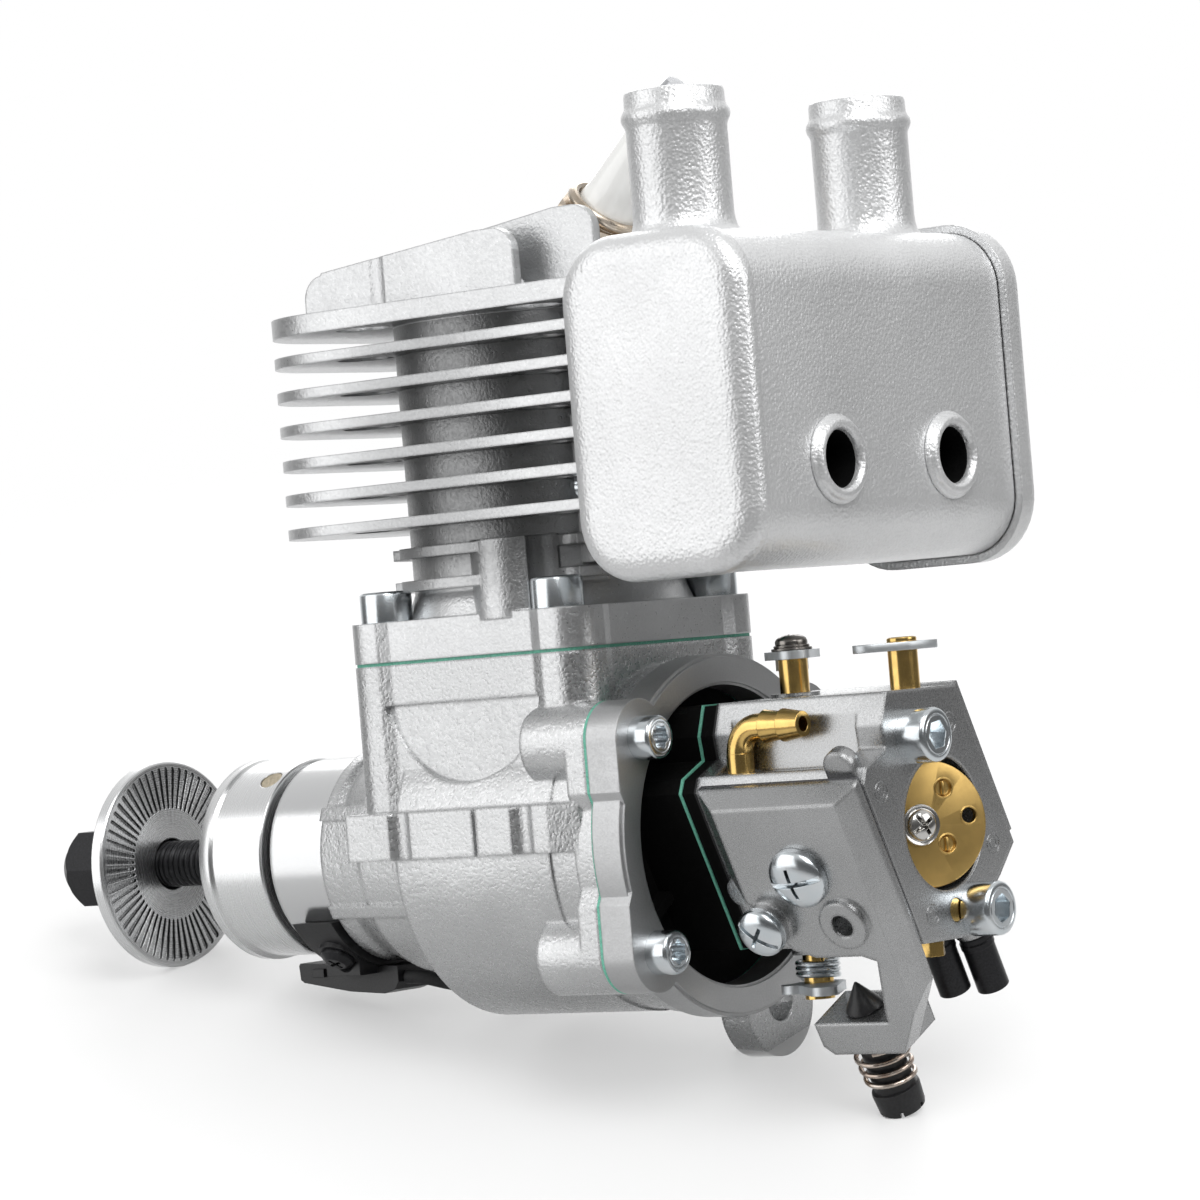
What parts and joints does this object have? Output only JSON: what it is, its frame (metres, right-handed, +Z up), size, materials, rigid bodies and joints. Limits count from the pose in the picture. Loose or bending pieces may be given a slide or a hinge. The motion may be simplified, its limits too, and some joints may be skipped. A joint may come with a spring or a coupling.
{
  "type": "model aircraft engine",
  "caption": "Single-cylinder two-stroke model aircraft engine with finned cylinder, rear box muffler, rear carburettor and propeller drive.",
  "frame": {"origin": "centre of the rear cover's outer face, on the crankshaft axis", "axes": "+X along the crankshaft towards the propeller, +Z up along the cylinder, +Y to the engine's left, the side of the carburettor's pump cover"},
  "size_m": [0.191, 0.1185, 0.1681],
  "materials": {
    "cast_case": "shot blasted",
    "cast_cover": "shot blasted",
    "gasket": "fibre sheet",
    "zinc": "zinc plated",
    "steel": "ground",
    "forged": "forged",
    "bronze": "satin",
    "piston_alloy": "machined",
    "rubber": "matt",
    "machined": "machined",
    "magnet": "matt",
    "black_steel": "black oxide",
    "cast_fins": "shot blasted",
    "nickel": "nickel",
    "ceramic": "glazed",
    "muffler_paint": "silver texture",
    "black_plastic": "fine texture",
    "lead_sheath": "matt",
    "cast_carb": "satin die cast",
    "brass": "polished",
    "reed": "sheet"
  },
  "bodies": {
    "engine": {"crankcase": "cast_case", "main_bearings": "steel", "oil_seal": "rubber", "rear_cover": "cast_cover", "cover_gasket": "gasket", "cover_screws": "zinc", "cylinder": "cast_fins", "base_gasket": "gasket", "base_screws": "zinc", "plug_shell": "nickel", "plug_insulator": "ceramic", "plug_electrode": "steel", "exhaust_gasket": "gasket", "muffler_shell": "muffler_paint", "muffler_lid": "muffler_paint", "muffler_tubes": "muffler_paint", "muffler_screws": "zinc", "intake_block": "black_plastic", "reed_petals": "reed", "reed_stop": "zinc", "intake_gaskets": "gasket", "heat_spacer": "black_plastic", "carb_body": "cast_carb", "pump_cover": "cast_carb", "pump_gasket": "rubber", "carb_cover_screws": "zinc", "brass_fittings": "brass", "metering_cover": "cast_carb", "carb_bolts": "zinc", "return_spring": "steel", "idle_spring": "steel", "sensor_holder": "black_plastic", "sensor_screw": "black_steel", "sensor_lead": "lead_sheath", "lead_coil": "lead_sheath", "lead_plug": "black_plastic"},
    "crank": {"crankshaft": "steel", "inner_races": "steel", "prop_hub": "machined", "hub_magnet": "magnet", "prop_washer": "machined", "prop_bolt": "black_steel"},
    "piston_group": {"piston": "piston_alloy", "piston_ring": "steel", "wrist_pin": "steel", "connecting_rod": "forged", "rod_bearings": "bronze", "crankpin": "steel"},
    "throttle": {"throttle_shaft": "brass", "throttle_plate": "brass", "throttle_lever": "zinc", "throttle_screws": "black_steel", "stop_lever": "zinc"},
    "choke": {"choke_shaft": "brass", "choke_plate": "brass", "choke_screw": "zinc", "choke_lever": "zinc"},
    "idle_adjuster": {"idle_screw": "black_steel"},
    "low_needle": {"needle_low": "black_steel"},
    "high_needle": {"needle_high": "black_steel"}
  },
  "joints": [
    {"name": "crank_turn", "type": "hinge", "parent": "engine", "child": "crank", "pos_m": [0, 0, 0], "axis": [1, 0, 0], "continuous": true},
    {"name": "piston_slide", "type": "slide", "parent": "engine", "child": "piston_group", "axis": [0, 0, 1], "range_m": [-0.028, 0]},
    {"name": "throttle_turn", "type": "hinge", "parent": "engine", "child": "throttle", "pos_m": [-0.0142, 0, 0], "axis": [0, 0, 1], "range_deg": [-62, 0], "stiffness_Nm_per_rad": 0.01, "springref_deg": 17.19},
    {"name": "choke_turn", "type": "hinge", "parent": "engine", "child": "choke", "pos_m": [-0.0365, 0.0015, 0], "axis": [0, 0, 1], "range_deg": [-50, 30]},
    {"name": "idle_turn", "type": "hinge", "parent": "engine", "child": "idle_adjuster", "pos_m": [-0.0262, 0.01492, -0.00728], "axis": [0, 0.4384, 0.8988], "range_deg": [-540, 540]},
    {"name": "low_needle_turn", "type": "hinge", "parent": "engine", "child": "low_needle", "pos_m": [-0.0323, 0.00153, -0.00075], "axis": [0, 0.4384, 0.8988], "range_deg": [-540, 540]},
    {"name": "high_needle_turn", "type": "hinge", "parent": "engine", "child": "high_needle", "pos_m": [-0.0369, -0.00171, 0.00083], "axis": [0, 0.4384, 0.8988], "range_deg": [-540, 540]}
  ]
}
